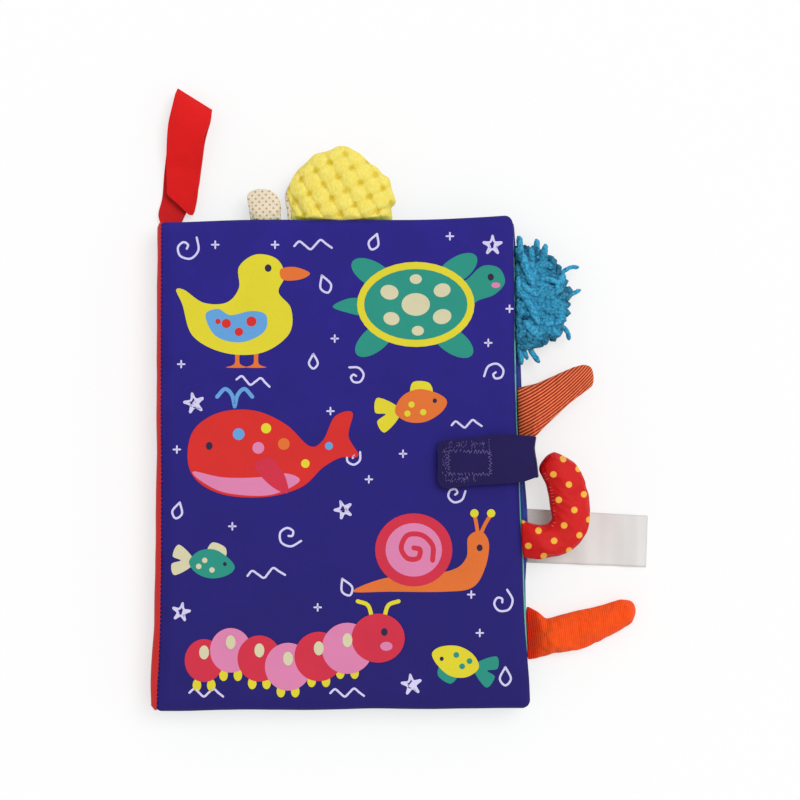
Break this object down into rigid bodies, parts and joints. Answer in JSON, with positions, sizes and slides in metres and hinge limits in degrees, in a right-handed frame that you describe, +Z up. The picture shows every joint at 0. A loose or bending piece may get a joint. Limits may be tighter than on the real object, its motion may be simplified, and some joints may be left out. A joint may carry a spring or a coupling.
{
  "type": "crinkle cloth book",
  "caption": "Padded cloth baby book with a spine, turning leaves, stuffed tails, a plush disc, a mop, a closing strap and a hanging strap.",
  "frame": {"origin": "middle of the back cover's outer face, on the surface that the book lies on", "axes": "+Z up out of the front cover, +Y towards the head of the page, +X towards the fore-edge, with the spine at -X"},
  "size_m": [0.2335, 0.2919, 0.0254],
  "materials": {
    "front_cover_print": "matte",
    "back_cover_print": "matte",
    "back_inside_print": "matte",
    "page_print_navy": "matte",
    "page_print_teal": "matte",
    "spine_cloth_red": "matte",
    "crinkle_film": "gloss",
    "wadding": "matte",
    "stuffing": "matte",
    "satin_dots_red": "satin",
    "corduroy_orange": "matte",
    "knit_orange": "matte",
    "popcorn_plush_yellow": "matte",
    "cotton_dots_beige": "matte",
    "chenille_blue": "matte",
    "strap_navy": "matte",
    "fastener_navy": "matte",
    "strap_red": "matte",
    "fastener_red": "matte",
    "label_satin": "satin"
  },
  "bodies": {
    "back_cover": {"back_cover_top_cloth": "back_inside_print", "back_cover_bottom_cloth": "back_cover_print", "back_cover_crinkle_film": "crinkle_film", "back_cover_wadding": "wadding", "back_cover_spine_strip": "spine_cloth_red"},
    "leaf_2": {"leaf_2_top_cloth": "page_print_navy", "leaf_2_bottom_cloth": "page_print_navy", "leaf_2_crinkle_film": "crinkle_film", "leaf_2_wadding": "wadding", "leaf_2_spine_strip": "spine_cloth_red"},
    "leaf_1": {"leaf_1_top_cloth": "page_print_teal", "leaf_1_bottom_cloth": "page_print_teal", "leaf_1_crinkle_film": "crinkle_film", "leaf_1_wadding": "wadding", "leaf_1_spine_strip": "spine_cloth_red"},
    "front_cover": {"front_cover_top_cloth": "front_cover_print", "front_cover_bottom_cloth": "page_print_teal", "front_cover_crinkle_film": "crinkle_film", "front_cover_wadding": "wadding", "front_cover_spine_strip": "spine_cloth_red", "loop_patch": "fastener_navy"},
    "dotted_tail": {"dotted_tail_top_skin": "satin_dots_red", "dotted_tail_bottom_skin": "satin_dots_red", "dotted_tail_stuffing": "stuffing"},
    "ribbed_tail": {"ribbed_tail_top_skin": "corduroy_orange", "ribbed_tail_bottom_skin": "corduroy_orange", "ribbed_tail_stuffing": "stuffing"},
    "knit_tail": {"knit_tail_top_skin": "knit_orange", "knit_tail_bottom_skin": "knit_orange", "knit_tail_stuffing": "stuffing"},
    "popcorn_disc": {"popcorn_face": "popcorn_plush_yellow", "popcorn_back": "cotton_dots_beige", "popcorn_stuffing": "stuffing"},
    "dotted_tab": {"dotted_tab_front": "cotton_dots_beige", "dotted_tab_back": "cotton_dots_beige"},
    "chenille_mop": {"chenille_top": "chenille_blue", "chenille_back": "chenille_blue", "chenille_stuffing": "stuffing"},
    "label": {"label": "label_satin"},
    "strap_riser": {"strap_riser": "strap_navy"},
    "strap_flap": {"strap_flap": "strap_navy", "hook_patch": "fastener_navy"},
    "hang_strap": {"hang_strap_lower": "strap_red", "hang_loop_patch": "fastener_red"},
    "hang_flap": {"hang_strap_upper": "strap_red", "hang_hook_patch": "fastener_red"}
  },
  "joints": [
    {"name": "spread_back", "type": "hinge", "parent": "back_cover", "child": "leaf_2", "pos_m": [-0.0887, 0, 0.00515], "axis": [0, -1, 0], "range_deg": [0, 175]},
    {"name": "spread_middle", "type": "hinge", "parent": "leaf_2", "child": "leaf_1", "pos_m": [-0.0887, 0, 0.01045], "axis": [0, 1, 0], "range_deg": [-175, 0]},
    {"name": "spread_front", "type": "hinge", "parent": "leaf_1", "child": "front_cover", "pos_m": [-0.0887, 0, 0.01575], "axis": [0, -1, 0], "range_deg": [0, 175]},
    {"name": "dotted_tail_bend", "type": "hinge", "parent": "front_cover", "child": "dotted_tail", "pos_m": [0.08647, -0.0335, 0.0188], "axis": [0, -1, 0], "range_deg": [-15, 40], "stiffness_Nm_per_rad": 0.012},
    {"name": "ribbed_tail_bend", "type": "hinge", "parent": "leaf_1", "child": "ribbed_tail", "pos_m": [0.0858, 0.0245, 0.0135], "axis": [0, -1, 0], "range_deg": [-15, 40], "stiffness_Nm_per_rad": 0.012},
    {"name": "knit_tail_bend", "type": "hinge", "parent": "back_cover", "child": "knit_tail", "pos_m": [0.09083, -0.0783, 0.0029], "axis": [0, -1, 0], "range_deg": [0, 40]},
    {"name": "chenille_mop_bend", "type": "hinge", "parent": "leaf_2", "child": "chenille_mop", "pos_m": [0.08483, 0.0781, 0.0082], "axis": [0, -1, 0], "range_deg": [0, 40]},
    {"name": "popcorn_disc_bend", "type": "hinge", "parent": "leaf_1", "child": "popcorn_disc", "pos_m": [0.0005, 0.11705, 0.0135], "axis": [1, 0, 0], "range_deg": [-15, 35], "stiffness_Nm_per_rad": 0.012},
    {"name": "dotted_tab_bend", "type": "hinge", "parent": "leaf_1", "child": "dotted_tab", "pos_m": [-0.0349, 0.11615, 0.0135], "axis": [1, 0, 0], "range_deg": [-15, 35], "stiffness_Nm_per_rad": 0.001},
    {"name": "label_bend", "type": "hinge", "parent": "back_cover", "child": "label", "pos_m": [0.0895, -0.0332, 0.0025], "axis": [0, -1, 0], "range_deg": [0, 12]},
    {"name": "strap_swing", "type": "hinge", "parent": "back_cover", "child": "strap_riser", "pos_m": [0.08832, 0.0038, 0.0025], "axis": [0, 1, 0], "range_deg": [0, 65], "deforming": ["strap_riser", "strap_flap", "hook_patch"]},
    {"name": "strap_flap_peel", "type": "hinge", "parent": "strap_riser", "child": "strap_flap", "pos_m": [0.09082, 0.0038, 0.0244], "axis": [0, 1, 0], "range_deg": [0, 150], "deforming": ["strap_flap", "hook_patch"]},
    {"name": "hang_strap_swing", "type": "hinge", "parent": "back_cover", "child": "hang_strap", "pos_m": [-0.079, 0.1149, 0.0029], "axis": [1, 0, 0], "range_deg": [0, 55]},
    {"name": "hang_flap_peel", "type": "hinge", "parent": "hang_strap", "child": "hang_flap", "pos_m": [-0.0672, 0.1718, 0.0052], "axis": [-0.8391, 0.544, 0], "range_deg": [0, 120]}
  ]
}
